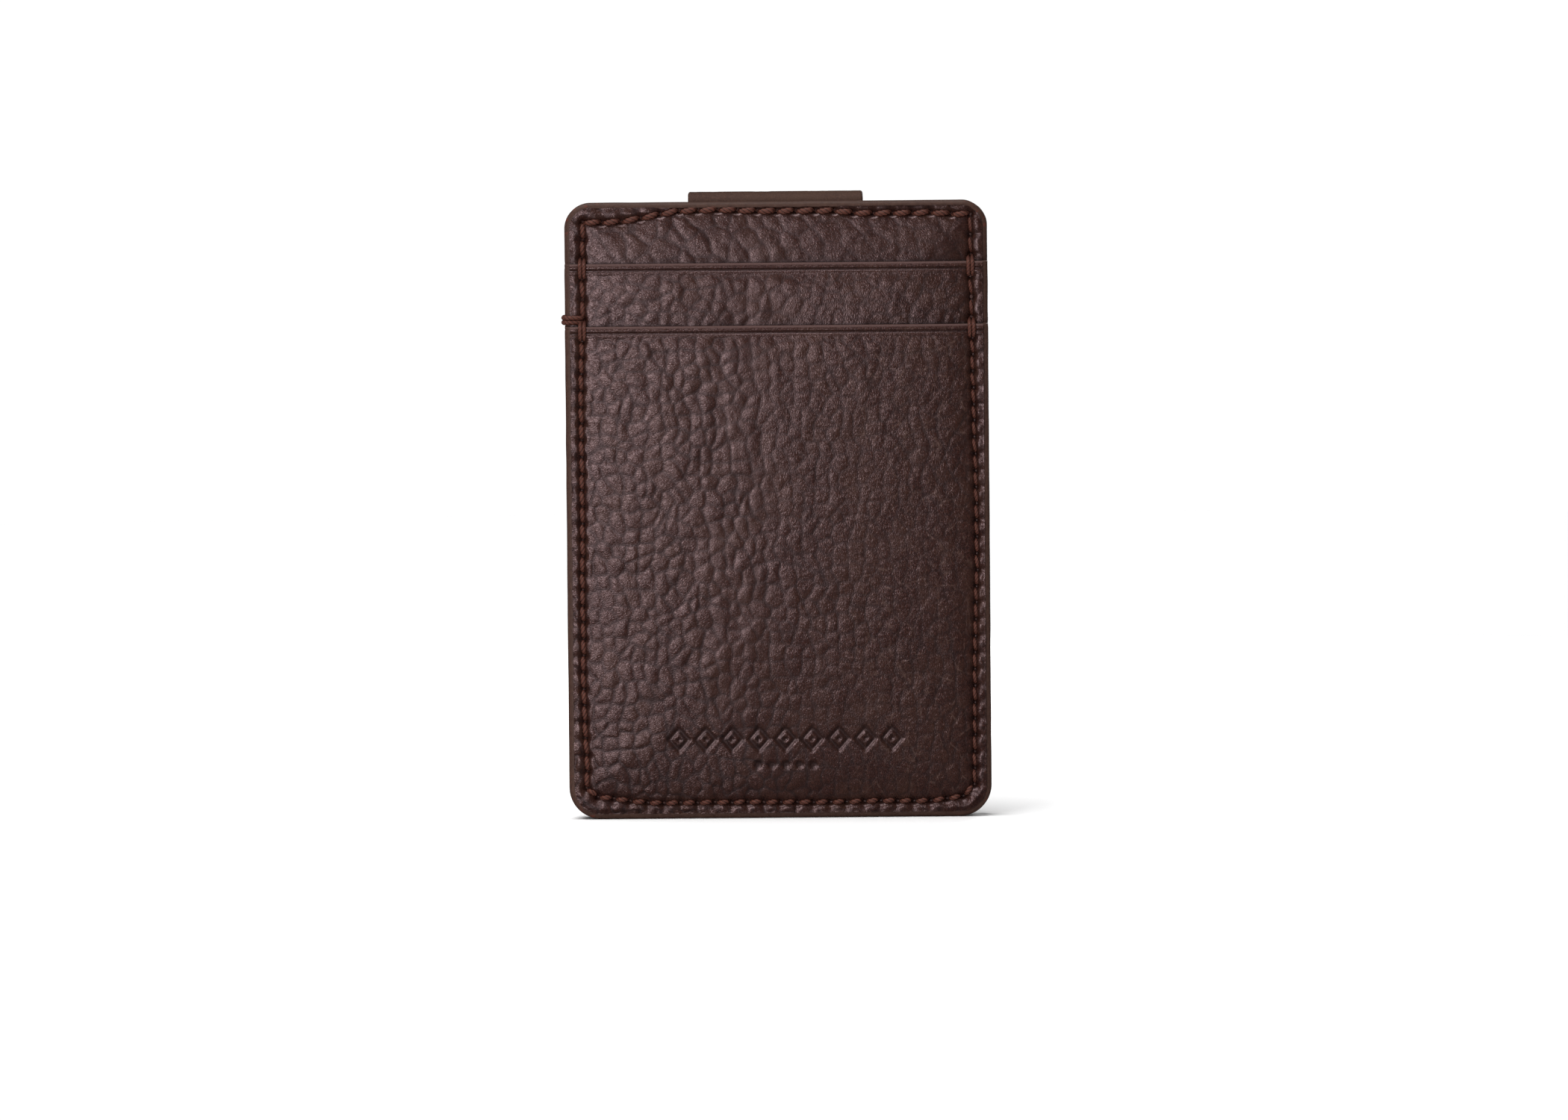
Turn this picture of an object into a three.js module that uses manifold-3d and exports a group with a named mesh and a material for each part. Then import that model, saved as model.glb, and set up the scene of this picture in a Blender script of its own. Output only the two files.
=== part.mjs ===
// A slim leather card wallet with a magnetic money clip on its back.
// Millimetres, +Z up. The card pockets face -Y and the clip faces +Y. The origin is the middle of the
// bottom edge, on the surface that the wallet stands on.
import * as THREE from "three";
import { mergeVertices } from "three/addons/utils/BufferGeometryUtils.js";
import Module from "manifold-3d";

const wasm = await Module();
wasm.setup();

// Outline of the wallet
const WIDTH = 70;
const HEIGHT = 102;
const TOP_RADIUS = 4.3;
const BOTTOM_RADIUS = 5.3;
const ARC_STEPS = 8;

// Thicknesses of the layers, from the back to the front
const BACK_THICKNESS = 1;
const STIFFENER_THICKNESS = 0.88;
const FRONT_THICKNESS = 0.9;
const UPPER_THICKNESS = 0.8;
const LOWER_THICKNESS = 0.95;
const LINER_THICKNESS = 0.2;

// Edge paint, and the pocket mouths below the top edge
const PAINT = 0.5;
const PAINT_BEVEL = 0.35;
const BEVEL_STEPS = 2;
const UPPER_LIP = HEIGHT - 10.1;
const LOWER_LIP = HEIGHT - 20.4;

// Card slots: an 85.6 x 54 x 0.76 card goes in upright
const CARD_SLOT = 0.85;
const SEAM_WIDTH = 5;
const LINER_BELOW_LIP = 1.2;

// Stitching
const STITCH_INSET = 2.75;
const THREAD_WIDTH = 0.6;
const THREAD_DEPTH = 0.4;
const STRAP_THREAD_DEPTH = 0.3;
const STEP_OVER_LIP = 0.55;

// The turns of thread round the left edge where the seam starts
const LOOP_WIDTH = 1.5;
const LOOP_THICKNESS = 0.35;
const LOOP_ABOVE_LIP = 0.1;
const LOOP_TO_SEAM = 0.1;

// Money clip: a folded strap, one half sewn to the back and one half free
const STRAP_WIDTH = 29;
const STRAP_LENGTH = 66;
const STRAP_RADIUS = 4;
const STRAP_LEATHER_THICKNESS = 0.7;
const STRAP_BOARD_THICKNESS = 1;
const STRAP_LINING_THICKNESS = 0.6;
const FOLD_STEPS = 16;
const FOLD_ABOVE_TOP = 1.55;
const BILL_GAP = 0.8;
const STRAP_STITCH_INSET = 2;
const STRAP_STITCH_BELOW_FOLD = 4;
const TURNED_EDGE = 0.7;
const LINING_INSET = 0.3;
const MAGNET_SIZE = 10;
const MAGNET_CENTRE_X = 6.5;
const MAGNET_ABOVE_END = 10;

// Clearances between layers, round a thread, and round a magnet
const GAP = 0.02;
const THREAD_GAP = 0.04;
const MAGNET_GAP = 0.1;

// How far a cutting shape goes past what it cuts, and the size of one that goes past everything
const PAST = 1;
const PAST_ALL = 2 * WIDTH;
const WELD_DISTANCE = 1e-4;

// A layer is a range of depth, counted from the back panel's outer face towards the front.
const layer = (from, thickness) => ({ from, to: from + thickness });
const inFrontOf = (other, thickness, gap = GAP) => layer(other.to + gap, thickness);
const behind = (other, thickness, gap = GAP) => layer(other.from - gap - thickness, thickness);
const between = (back, front) => ({ from: back.to + GAP, to: front.from - GAP });

const BACK_PANEL = layer(0, BACK_THICKNESS);
const STIFFENER = inFrontOf(BACK_PANEL, STIFFENER_THICKNESS);
const FRONT_PANEL = inFrontOf(STIFFENER, FRONT_THICKNESS);
const UPPER_LINER = inFrontOf(FRONT_PANEL, LINER_THICKNESS, CARD_SLOT);
const UPPER_PANEL = inFrontOf(UPPER_LINER, UPPER_THICKNESS);
const LOWER_LINER = inFrontOf(UPPER_PANEL, LINER_THICKNESS, CARD_SLOT);
const LOWER_PANEL = inFrontOf(LOWER_LINER, LOWER_THICKNESS);
const THICKNESS = LOWER_PANEL.to;

const ANCHOR_LEATHER = behind(BACK_PANEL, STRAP_LEATHER_THICKNESS);
const ANCHOR_CORE = behind(ANCHOR_LEATHER, STRAP_BOARD_THICKNESS);
const ANCHOR_LINING = behind(ANCHOR_CORE, STRAP_LINING_THICKNESS);
const FLAP_LINING = behind(ANCHOR_LINING, STRAP_LINING_THICKNESS, BILL_GAP);
const FLAP_CORE = behind(FLAP_LINING, STRAP_BOARD_THICKNESS);
const FLAP_LEATHER = behind(FLAP_CORE, STRAP_LEATHER_THICKNESS);

// The fold is round about a line midway between the strap's halves.
const FOLD_DEPTH = (ANCHOR_LINING.from + FLAP_LINING.to) / 2;
const FOLD_RADIUS = ANCHOR_LEATHER.to - FOLD_DEPTH;
const FOLD_Z = HEIGHT + FOLD_ABOVE_TOP - FOLD_RADIUS;
const STRAP_TOP = FOLD_Z - GAP;
const STRAP_END = FOLD_Z - STRAP_LENGTH;

const leather = material(0x46302b, 0.45);
const strapLeather = material(0x4a352c, 0.5);
const edgePaint = material(0x3a2b26, 0.35);
const lining = material(0x2e211d, 0.85);
const board = material(0x6e5340, 0.9);
const thread = material(0x6b3f35, 0.7);
const magnetNickel = material(0xb9bbbd, 0.25, 1);

function material(color, roughness, metalness = 0) {
  return new THREE.MeshStandardMaterial({ color, roughness, metalness });
}

const wallet = new THREE.Group();

function add(name, geometry, finish) {
  const mesh = new THREE.Mesh(geometry, finish);
  mesh.name = name;
  wallet.add(mesh);
}

// Solids

function solidOf(geometry) {
  const bare = geometry.clone();
  bare.deleteAttribute("normal");
  bare.deleteAttribute("uv");
  const merged = mergeVertices(bare, WELD_DISTANCE);
  return new wasm.Manifold(
    new wasm.Mesh({
      numProp: 3,
      vertProperties: new Float32Array(merged.attributes.position.array),
      triVerts: new Uint32Array(merged.index.array),
    }),
  );
}

function geometryOf(solid) {
  const mesh = solid.getMesh();
  const geometry = new THREE.BufferGeometry();
  geometry.setAttribute("position", new THREE.BufferAttribute(mesh.vertProperties, 3));
  geometry.setIndex(new THREE.BufferAttribute(mesh.triVerts, 1));
  geometry.computeVertexNormals();
  return geometry;
}

function union(geometries) {
  return geometryOf(geometries.map(solidOf).reduce((all, next) => all.add(next)));
}

function cut(geometry, ...tools) {
  return geometryOf(tools.map(solidOf).reduce((left, tool) => left.subtract(tool), solidOf(geometry)));
}

// The part of a geometry that lies between two heights.
function slice(geometry, low, high) {
  const slab = new THREE.BoxGeometry(PAST_ALL, PAST_ALL, high - low);
  slab.translate(0, 0, (low + high) / 2);
  return geometryOf(solidOf(geometry).intersect(solidOf(slab)));
}

// Outlines, drawn in x and z

function outline(halfWidth, bottom, top, bottomRadius, topRadius) {
  const corners = [
    { side: 1, z: bottom + bottomRadius, radius: bottomRadius, quarter: 3 },
    { side: 1, z: top - topRadius, radius: topRadius, quarter: 0 },
    { side: -1, z: top - topRadius, radius: topRadius, quarter: 1 },
    { side: -1, z: bottom + bottomRadius, radius: bottomRadius, quarter: 2 },
  ];
  const points = [];
  for (const { side, z, radius, quarter } of corners) {
    const steps = radius > 0 ? ARC_STEPS : 0;
    for (let i = 0; i <= steps; i++) {
      const angle = ((quarter + i / ARC_STEPS) * Math.PI) / 2;
      const x = side * (halfWidth - radius) + radius * Math.cos(angle);
      points.push(new THREE.Vector2(x, z + radius * Math.sin(angle)));
    }
  }
  return new THREE.Shape(points);
}

const wholeOutline = (inset) =>
  outline(WIDTH / 2 - inset, inset, HEIGHT - inset, BOTTOM_RADIUS - inset, TOP_RADIUS - inset);
const pocketOutline = (inset, lip) => outline(WIDTH / 2 - inset, inset, lip, BOTTOM_RADIUS - inset, 0);
const strapOutline = (inset, top = STRAP_TOP) =>
  outline(STRAP_WIDTH / 2 - inset, STRAP_END + inset, top, STRAP_RADIUS - inset, 0);

// An outline given the depth of a layer, standing upright.
function sheet(shape, { from, to }, bevel = 0) {
  const geometry = new THREE.ExtrudeGeometry(shape, {
    depth: to - from - 2 * bevel,
    curveSegments: ARC_STEPS,
    bevelEnabled: bevel > 0,
    bevelThickness: bevel,
    bevelSize: bevel,
    bevelOffset: -bevel,
    bevelSegments: BEVEL_STEPS,
  });
  geometry.rotateX(Math.PI / 2);
  geometry.translate(0, THICKNESS / 2 - from - bevel, 0);
  return geometry;
}

// A band of thread that follows the edge, in a layer; extra widens it into the channel that it lies in.
function edgeStitching(depths, extra = 0) {
  const band = wholeOutline(STITCH_INSET - THREAD_WIDTH / 2 - extra);
  band.holes.push(wholeOutline(STITCH_INSET + THREAD_WIDTH / 2 + extra));
  return sheet(band, depths);
}

// The same for the strap: down one side, across the end and up the other side.
function strapStitching(depths, extra = 0) {
  const top = FOLD_Z - STRAP_STITCH_BELOW_FOLD + extra;
  const reach = STRAP_STITCH_INSET - THREAD_WIDTH / 2 - extra;
  const inner = { from: depths.from - PAST, to: depths.to + PAST };
  return cut(
    sheet(strapOutline(reach, top), depths),
    sheet(strapOutline(reach + THREAD_WIDTH + 2 * extra, top + PAST), inner),
  );
}

const atFrontOf = ({ to }, depth) => ({ from: to - depth, to });
const atBackOf = ({ from }, depth) => ({ from, to: from + depth });
const openFront = ({ from, to }) => ({ from: from - THREAD_GAP, to: to + PAST });
const openBack = ({ from, to }) => ({ from: from - PAST, to: to + THREAD_GAP });

const FRONT_THREAD = atFrontOf(FRONT_PANEL, THREAD_DEPTH);
const UPPER_THREAD = atFrontOf(UPPER_PANEL, THREAD_DEPTH);
const LOWER_THREAD = atFrontOf(LOWER_PANEL, THREAD_DEPTH);
const BACK_THREAD = atBackOf(BACK_PANEL, THREAD_DEPTH);

// Wallet body: panels, liners and the strips that close the slots

function addPanels() {
  const inset = PAINT + GAP;
  const backChannel = edgeStitching(openBack(BACK_THREAD), THREAD_GAP);
  add("back_panel", cut(sheet(wholeOutline(inset), BACK_PANEL), backChannel), leather);
  add("stiffener_board", sheet(wholeOutline(inset), STIFFENER), board);

  const topChannel = slice(edgeStitching(openFront(FRONT_THREAD), THREAD_GAP), UPPER_LIP, HEIGHT);
  add("front_panel", cut(sheet(wholeOutline(inset), FRONT_PANEL), topChannel), leather);

  const upperChannel = slice(edgeStitching(openFront(UPPER_THREAD), THREAD_GAP), LOWER_LIP - GAP, HEIGHT);
  const upper = sheet(pocketOutline(inset, UPPER_LIP), UPPER_PANEL);
  add("upper_pocket_panel", cut(upper, upperChannel), leather);

  const lower = sheet(pocketOutline(inset, LOWER_LIP), LOWER_PANEL);
  add("lower_pocket_panel", cut(lower, edgeStitching(openFront(LOWER_THREAD), THREAD_GAP)), leather);
}

function addLiners() {
  const liners = [
    ["upper_pocket_liner", UPPER_LINER, UPPER_LIP],
    ["lower_pocket_liner", LOWER_LINER, LOWER_LIP],
  ];
  const inset = SEAM_WIDTH + GAP;
  for (const [name, depths, lip] of liners) {
    const shape = outline(WIDTH / 2 - inset, inset, lip - LINER_BELOW_LIP, 0, 0);
    add(name, sheet(shape, depths), lining);
  }
}

// Each card slot is closed at its sides and bottom by three thin leather strips inside the seam.
function addSeamStrips(slot, depths, lip) {
  const inset = PAINT + GAP;
  const whole = sheet(pocketOutline(inset, lip), depths);
  const halfSlot = WIDTH / 2 - SEAM_WIDTH;
  const side = (sign) => {
    const column = new THREE.BoxGeometry(SEAM_WIDTH, PAST_ALL, 2 * HEIGHT);
    column.translate(sign * (halfSlot + SEAM_WIDTH / 2), 0, HEIGHT);
    return geometryOf(solidOf(whole).intersect(solidOf(column)));
  };
  add(slot + "_seam_strip_left", side(-1), leather);
  add(slot + "_seam_strip_right", side(1), leather);
  const floor = outline(halfSlot - GAP, inset, SEAM_WIDTH, 0, 0);
  add(slot + "_seam_strip_bottom", sheet(floor, depths), leather);
}

// The painted edge is one skin round the stack, with a step at each pocket mouth.
function addPaintedEdge() {
  const levels = [
    [FRONT_PANEL, HEIGHT + PAST],
    [UPPER_PANEL, UPPER_LIP],
    [LOWER_PANEL, LOWER_LIP],
  ];
  const steps = levels.map(([front, top]) =>
    slice(sheet(wholeOutline(0), { from: 0, to: front.to }, PAINT_BEVEL), -PAST, top),
  );
  const core = sheet(wholeOutline(PAINT), { from: -PAST, to: THICKNESS + PAST });
  add("painted_edge", cut(union(steps), core), edgePaint);
}

// Needle thread on the front: it climbs from one panel to the next just above each pocket mouth.
function addEdgeStitching() {
  const run = (depths, low, high) => slice(edgeStitching(depths), low, high);
  const climb = (back, front, lip) =>
    run({ from: back.from, to: front.to }, lip + GAP, lip + STEP_OVER_LIP);
  const needleThread = union([
    run(FRONT_THREAD, UPPER_LIP + GAP, HEIGHT),
    climb(FRONT_THREAD, UPPER_THREAD, UPPER_LIP),
    run(UPPER_THREAD, LOWER_LIP + GAP, UPPER_LIP + STEP_OVER_LIP),
    climb(UPPER_THREAD, LOWER_THREAD, LOWER_LIP),
    run(LOWER_THREAD, 0, LOWER_LIP + STEP_OVER_LIP),
  ]);
  add("edge_needle_thread", needleThread, thread);
  add("edge_bobbin_thread", edgeStitching(BACK_THREAD), thread);
}

// The seam starts with a few turns of thread round the left edge, just above the lower pocket mouth.
function addEdgeLoop() {
  const thick = LOOP_THICKNESS;
  const out = -WIDTH / 2 - GAP;
  const end = STITCH_INSET - THREAD_WIDTH / 2 - LOOP_TO_SEAM - WIDTH / 2;
  const front = THICKNESS / 2 - UPPER_PANEL.to - GAP;
  const back = THICKNESS / 2 + GAP;
  const hook = new THREE.Shape();
  hook.moveTo(end, front - thick);
  hook.lineTo(end, front);
  hook.lineTo(out, front);
  hook.lineTo(out, back);
  hook.lineTo(end, back);
  hook.lineTo(end, back + thick);
  hook.lineTo(out - thick, back + thick);
  hook.lineTo(out - thick, front - thick);
  const loop = new THREE.ExtrudeGeometry(hook, { depth: LOOP_WIDTH, bevelEnabled: false });
  loop.translate(0, 0, LOWER_LIP + LOOP_ABOVE_LIP);
  add("edge_start_loop", loop, thread);
}

// Money clip

const magnetXs = [-MAGNET_CENTRE_X, MAGNET_CENTRE_X];
const magnetZ = STRAP_END + MAGNET_ABOVE_END;

function squareAt(x, z, size) {
  const half = size / 2;
  return new THREE.Shape([
    new THREE.Vector2(x - half, z - half),
    new THREE.Vector2(x + half, z - half),
    new THREE.Vector2(x + half, z + half),
    new THREE.Vector2(x - half, z + half),
  ]);
}

// One half of the strap: grained leather turned over the edges of a board that holds two magnets, and a
// lining that covers the board.
function addStrapHalf(half, leatherDepths, coreDepths, liningDepths) {
  const whole = {
    from: Math.min(leatherDepths.from, coreDepths.from),
    to: Math.max(leatherDepths.to, coreDepths.to),
  };
  const boardSpace = { from: coreDepths.from - GAP, to: coreDepths.to + GAP };
  if (half === "anchor") boardSpace.from -= PAST;
  if (half === "flap") boardSpace.to += PAST;
  const space = sheet(strapOutline(TURNED_EDGE, STRAP_TOP + PAST), boardSpace);
  const turned = cut(sheet(strapOutline(0), whole), space);

  const magnetSpace = { from: coreDepths.from - PAST, to: coreDepths.to + PAST };
  const pocketSize = MAGNET_SIZE + 2 * MAGNET_GAP;
  const pockets = magnetXs.map((x) => sheet(squareAt(x, magnetZ, pocketSize), magnetSpace));
  const wholeBoard = sheet(strapOutline(TURNED_EDGE + GAP), coreDepths);
  add(half + "_board", cut(wholeBoard, ...pockets), board);
  ["left", "right"].forEach((side, i) => {
    const magnet = sheet(squareAt(magnetXs[i], magnetZ, MAGNET_SIZE), coreDepths);
    add(half + "_magnet_" + side, magnet, magnetNickel);
  });

  const [atFace, openFace] = half === "anchor" ? [atBackOf, openBack] : [atFrontOf, openFront];
  const threadOnLining = atFace(liningDepths, STRAP_THREAD_DEPTH);
  const channel = openFace(threadOnLining);
  const flatLining = sheet(strapOutline(LINING_INSET), liningDepths);
  add(half + "_lining", cut(flatLining, strapStitching(channel, THREAD_GAP)), lining);
  add(half + "_lining_thread", strapStitching(threadOnLining), thread);
  if (half === "anchor") {
    add("anchor_leather", turned, strapLeather);
    return;
  }
  const outerThread = atBackOf(leatherDepths, STRAP_THREAD_DEPTH);
  const outerChannel = strapStitching(openBack(outerThread), THREAD_GAP);
  add("flap_leather", cut(turned, outerChannel), strapLeather);
  add("flap_outer_thread", strapStitching(outerThread), thread);
}

// A half ring across the strap, about the fold's line, from one x to another.
function foldShell(outer, inner, fromX, toX) {
  const ring = new THREE.Shape();
  ring.absarc(0, 0, outer, 0, Math.PI);
  ring.absarc(0, 0, inner, Math.PI, 0, true);
  const shell = new THREE.ExtrudeGeometry(ring, {
    depth: toX - fromX,
    bevelEnabled: false,
    curveSegments: FOLD_STEPS,
  });
  const across = new THREE.Matrix4().makeBasis(
    new THREE.Vector3(0, 1, 0),
    new THREE.Vector3(0, 0, 1),
    new THREE.Vector3(1, 0, 0),
  );
  shell.applyMatrix4(across);
  shell.translate(fromX, THICKNESS / 2 - FOLD_DEPTH, FOLD_Z);
  return shell;
}

// The leather's turned edges go round the fold too, and the lining lies inside it.
function addFold() {
  const side = STRAP_WIDTH / 2;
  const leatherInside = FOLD_RADIUS - (ANCHOR_LEATHER.to - ANCHOR_LEATHER.from);
  const liningOutside = ANCHOR_LINING.to - FOLD_DEPTH;
  const liningInside = ANCHOR_LINING.from - FOLD_DEPTH;
  const turnedTo = liningOutside + GAP;
  const leatherFold = union([
    foldShell(FOLD_RADIUS, leatherInside, -side, side),
    foldShell(FOLD_RADIUS, turnedTo, -side, TURNED_EDGE - side),
    foldShell(FOLD_RADIUS, turnedTo, side - TURNED_EDGE, side),
  ]);
  add("fold_leather", leatherFold, strapLeather);
  const liningSide = side - LINING_INSET;
  add("fold_lining", foldShell(liningOutside, liningInside, -liningSide, liningSide), lining);
}

addPanels();
addLiners();
addSeamStrips("upper_slot", between(FRONT_PANEL, UPPER_PANEL), UPPER_LIP);
addSeamStrips("lower_slot", between(UPPER_PANEL, LOWER_PANEL), LOWER_LIP);
addPaintedEdge();
addEdgeStitching();
addEdgeLoop();
addStrapHalf("anchor", ANCHOR_LEATHER, ANCHOR_CORE, ANCHOR_LINING);
addStrapHalf("flap", FLAP_LEATHER, FLAP_CORE, FLAP_LINING);
addFold();

export default wallet;
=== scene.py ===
"""The looks of a slim leather card wallet with a magnetic money clip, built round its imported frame."""

import math

import bmesh
import bpy
import numpy as np
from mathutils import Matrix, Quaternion, Vector


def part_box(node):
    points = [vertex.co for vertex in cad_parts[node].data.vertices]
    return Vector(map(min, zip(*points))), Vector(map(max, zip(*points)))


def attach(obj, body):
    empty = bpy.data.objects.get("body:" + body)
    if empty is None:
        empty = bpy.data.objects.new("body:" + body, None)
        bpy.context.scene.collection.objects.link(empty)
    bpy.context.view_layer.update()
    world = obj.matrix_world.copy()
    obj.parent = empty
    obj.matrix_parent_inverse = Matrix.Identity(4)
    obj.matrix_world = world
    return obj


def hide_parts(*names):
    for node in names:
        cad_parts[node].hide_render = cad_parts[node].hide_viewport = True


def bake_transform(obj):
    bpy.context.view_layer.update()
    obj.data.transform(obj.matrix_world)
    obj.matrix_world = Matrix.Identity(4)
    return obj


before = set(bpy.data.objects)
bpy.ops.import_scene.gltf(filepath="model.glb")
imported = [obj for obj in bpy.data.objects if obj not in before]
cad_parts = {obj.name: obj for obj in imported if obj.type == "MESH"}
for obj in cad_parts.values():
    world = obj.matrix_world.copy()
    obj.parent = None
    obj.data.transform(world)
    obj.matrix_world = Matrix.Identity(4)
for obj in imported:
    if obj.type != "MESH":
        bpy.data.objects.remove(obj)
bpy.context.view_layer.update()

# Everything below is in millimetres until a mesh is made.
MM = 0.001


def corners(node):
    """The lowest and highest corner of a CAD node, in millimetres."""
    low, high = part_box(node)
    return np.array(low) / MM, np.array(high) / MM


HALF, BACK, HEIGHT = corners("painted_edge")[1]
UPPER_LIP = corners("upper_pocket_panel")[1][2]
LOWER_LIP = corners("lower_pocket_panel")[1][2]
FRONT_PANELS = "front_panel", "upper_pocket_panel", "lower_pocket_panel"
FRONT_OF = {name: corners(name)[0][1] for name in FRONT_PANELS}
THICKNESS_OF = {name: np.ptp([corner[1] for corner in corners(name)]) for name in (*FRONT_PANELS, "back_panel")}

TOP_RADIUS = 4.3
BOTTOM_RADIUS = 5.3

# The painted edge rounds off this far in, and the leather starts there.
PAINT_WIDTH = 0.95
LEATHER_INSET = 0.88

# Stitching: how many stitches in each row, with the sides as below the lower mouth, over it, between the mouths
# and above them; and where the seam's corners are
STITCHES_TOP = 20
STITCHES_SIDE = 27, 1, 3, 2
STITCHES_BOTTOM = 22
HOLE_ABOVE_LIP = 1.0
HOLE_BELOW_LIP = 2.3
SEAM_FOOT = 5.3
SEAM_BOTTOM_HALF = 30.3
HOLE_SCATTER = 0.05

# Tables of random numbers for the noise
SEED = 11
LAYERS = 8
CELLS = 256
RANDOM = np.random.default_rng(SEED)
LATTICE = RANDOM.random((LAYERS, CELLS, CELLS))

# Thread: its plies, the radii in which they make one turn, and its radius in the back seam, over a pocket's mouth,
# in the start loop and in the strap
PLIES, TWIST = 3, 4.6
BACK_RADIUS, MOUTH_RADIUS, LOOP_RADIUS, STRAP_THREAD_RADIUS = 0.38, 0.37, 0.46, 0.27

# Points that are measured against the seam at a time
BATCH = 8000


# Noise and outlines. They all take arrays of points.


def smooth(low, high, value):
    """0 below low, 1 above high, and a smooth step between them."""
    t = np.clip((value - low) / (high - low), 0, 1)
    return t * t * (3 - 2 * t)


def peak(value, width):
    """1 at 0, falling smoothly to almost 0 at twice the width."""
    return np.exp(-((value / width) ** 2))


def noise(a, b, size, layer):
    """Smooth noise from -1 to 1 with features of about this size."""
    a, b = a / size + 57, b / size + 91
    i, j = np.floor(a).astype(int), np.floor(b).astype(int)
    s, t = a - i, b - j
    s, t = s * s * (3 - 2 * s), t * t * (3 - 2 * t)

    def row(up):
        at = (j + up) % CELLS
        return LATTICE[layer][i % CELLS, at] * (1 - s) + LATTICE[layer][(i + 1) % CELLS, at] * s

    return 2 * (row(0) * (1 - t) + row(1) * t) - 1


def pebbles(x, z, turn, width, length, layer):
    """Grain cells of this width and length, turned by an angle: how far each point is from a crease, and how nearly
    upright that crease is."""
    bend_a = 0.8 * noise(x, z, 5.0, layer) + 0.3 * noise(x, z, 1.7, layer + 1)
    bend_b = 1.0 * noise(x, z, 6.0, layer + 2) + 0.3 * noise(x, z, 1.9, layer + 3)
    a = (x * math.cos(turn) + z * math.sin(turn) + bend_a) / width + 40
    b = (z * math.cos(turn) - x * math.sin(turn) + bend_b) / length + 40
    i, j = np.floor(a).astype(int), np.floor(b).astype(int)
    nearest, second = np.full((2, *a.shape), 9.0)
    nearest_at, second_at = np.zeros((2, 2, *a.shape))
    for di in (-2, -1, 0, 1, 2):
        for dj in (-2, -1, 0, 1, 2):
            cell = (i + di) % CELLS, (j + dj) % CELLS
            seed_a = i + di + 0.1 + 0.8 * LATTICE[layer][cell]
            seed_b = j + dj + 0.1 + 0.8 * LATTICE[layer + 1][cell]
            distance = np.hypot(a - seed_a, b - seed_b)
            seed_at = np.stack((seed_a, seed_b))
            closer = distance < nearest
            between = (distance < second) & ~closer
            second_at = np.where(closer, nearest_at, np.where(between, seed_at, second_at))
            second = np.where(closer, nearest, np.where(between, distance, second))
            nearest_at = np.where(closer, seed_at, nearest_at)
            nearest = np.where(closer, distance, nearest)
    across = np.abs(second_at - nearest_at)
    return (second - nearest) * min(width, length), across[0] / (across[0] + across[1] + 1e-6)


def corner_drop(past, radius):
    """How far a rounded corner of this radius falls away, this far past its start."""
    return radius - np.sqrt(radius**2 - np.clip(past, 0, radius) ** 2)


def depth_inside(x, up, half, radius):
    """How far a point is inside a shape of this half width with rounded lower corners, when it is this far up."""
    out_x, out_up = np.abs(x) - (half - radius), radius - up
    straight = np.minimum(half - np.abs(x), up)
    return np.where((out_x > 0) & (out_up > 0), radius - np.hypot(out_x, out_up), straight)


def mirrored(right):
    """Places from 0 to the right, and the same to the left."""
    return np.concatenate((-right[:0:-1], right))


def half_width(z, lip=None):
    """Half the width of the wallet's leather at height z; a pocket's ends square at its lip."""
    result = HALF - LEATHER_INSET - corner_drop(BOTTOM_RADIUS - z, BOTTOM_RADIUS - LEATHER_INSET)
    if lip is None:
        result = result - corner_drop(z - (HEIGHT - TOP_RADIUS), TOP_RADIUS - LEATHER_INSET)
    return result


def outline_depth(x, z):
    """How far a point is inside the wallet's outline."""
    radius = np.where(z > HEIGHT / 2, TOP_RADIUS, BOTTOM_RADIUS)
    return depth_inside(x, np.minimum(z, HEIGHT - z), HALF, radius)


def graded(low, high, step, *spans):
    """Levels from low to high, a step apart, and closer in each (from, to, step) span."""
    levels = [low]
    while levels[-1] < high:
        at = levels[-1]
        near = [fine for start, end, fine in spans if start - 1e-9 <= at < end - 1e-9]
        levels.append(at + min(near, default=step))
    levels = np.array(levels)
    return low + (levels - low) * (high - low) / (levels[-1] - low)


# The seam


def top_inset(x):
    """The top row of stitches starts low at the left, climbs close to the edge and comes down to the right."""
    climb = 1.85 * smooth(-27, -14, x)
    descent = 0.25 * smooth(-12, 0, x) + 0.5 * smooth(9, 15, x) + 0.3 * smooth(24, 32, x)
    return 3.2 - climb + descent


def bottom_inset(x):
    """The bottom row rises towards both corners, more at the left."""
    return 2.7 + 1.1 * smooth(20, 31, -x) + 0.6 * smooth(23, 31, x)


def side_inset(sign, z):
    """The side rows wander a little."""
    if sign < 0:
        return 2.6 + 0.4 * smooth(72, 84, z) + 0.45 * smooth(-22, -5, -z)
    return 2.85 - 0.6 * peak(z - 48, 22)


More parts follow.
